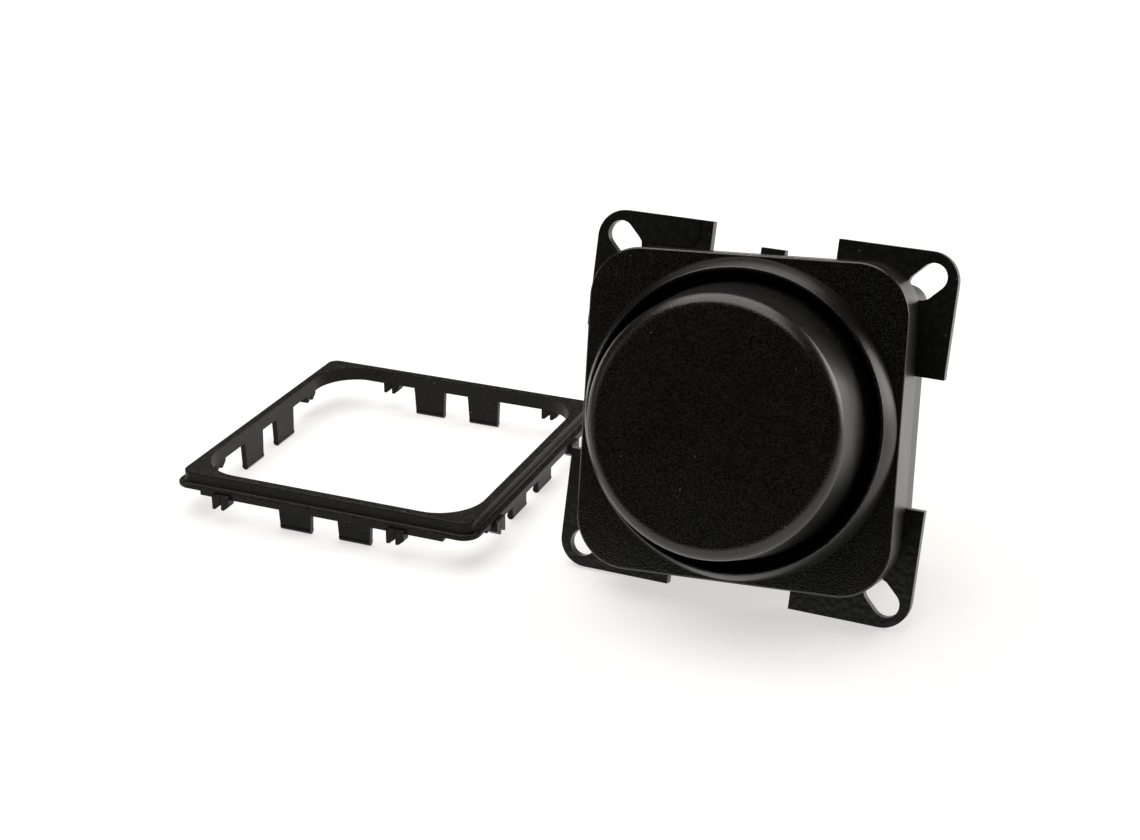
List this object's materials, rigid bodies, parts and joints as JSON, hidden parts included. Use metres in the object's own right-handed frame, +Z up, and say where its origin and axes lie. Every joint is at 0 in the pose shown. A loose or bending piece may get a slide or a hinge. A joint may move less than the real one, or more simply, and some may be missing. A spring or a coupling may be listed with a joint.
{
  "type": "rotary light dimmer",
  "caption": "Black rotary dimmer module with a round push-and-turn knob in a square collared cover, on a slotted mounting plate, with its square clip-on trim frame beside it",
  "frame": {"origin": "on the table, under the middle of the whole layout", "axes": "X to the right along the plate's level edges, Y from the viewer to the back, Z up"},
  "size_m": [0.1138, 0.0588, 0.0499],
  "materials": {
    "shell_black": "fine moulded grain",
    "knob_black": "satin side, fine grain on the face",
    "housing_black": "plain moulded",
    "switch_white": "plain moulded",
    "screw_steel": "zinc plated",
    "spring_steel": "plain spring steel",
    "turned_metal": "turned",
    "contact_brass": "stamped",
    "track_brown": "printed laminate",
    "board_green": "solder resist",
    "capacitor_sleeve": "shrink sleeve",
    "ferrite_grey": "ferrite",
    "chip_black": "moulded epoxy"
  },
  "bodies": {
    "dimmer": {"mounting_plate": "shell_black", "cover_plate": "shell_black", "rear_housing": "housing_black", "housing_screws": "screw_steel", "pot_bush": "turned_metal", "lock_washer": "spring_steel", "pot_nut": "turned_metal", "pot_can": "screw_steel", "track_disc": "track_brown", "pot_pins": "contact_brass", "switch_body": "housing_black", "fixed_contacts": "contact_brass", "return_spring": "spring_steel", "circuit_board": "board_green", "power_transistor": "chip_black", "filter_capacitor": "capacitor_sleeve", "choke_coil": "ferrite_grey", "controller_chip": "chip_black", "chip_resistors": "chip_black", "terminal_blades": "contact_brass", "clip_frame": "shell_black"},
    "plunger": {"push_plunger": "switch_white", "bridge_contact": "contact_brass"},
    "knob": {"knob": "knob_black", "grip_spring": "spring_steel", "shaft": "turned_metal", "shaft_clip": "spring_steel"},
    "wiper": {"wiper_rotor": "switch_white", "wiper_contact": "contact_brass"}
  },
  "joints": [
    {"name": "knob_press", "type": "slide", "parent": "dimmer", "child": "plunger", "axis": [0, 0.9554, -0.2954], "range_m": [0, 0.0012], "stiffness_N_per_m": 1500, "springref_m": -0.001, "deforming": ["return_spring"]},
    {"name": "knob_turn", "type": "hinge", "parent": "plunger", "child": "knob", "pos_m": [0.03115, -0.01212, 0.02702], "axis": [0, 0.9554, -0.2954], "range_deg": [-140, 140]},
    {"name": "wiper_turn", "type": "hinge", "parent": "dimmer", "child": "wiper", "pos_m": [0.03115, -0.01212, 0.02702], "axis": [0, 0.9554, -0.2954], "range_deg": [-140, 140]}
  ],
  "couplings": [
    {"joint": "wiper_turn", "follows": "knob_turn", "ratio": 1}
  ]
}
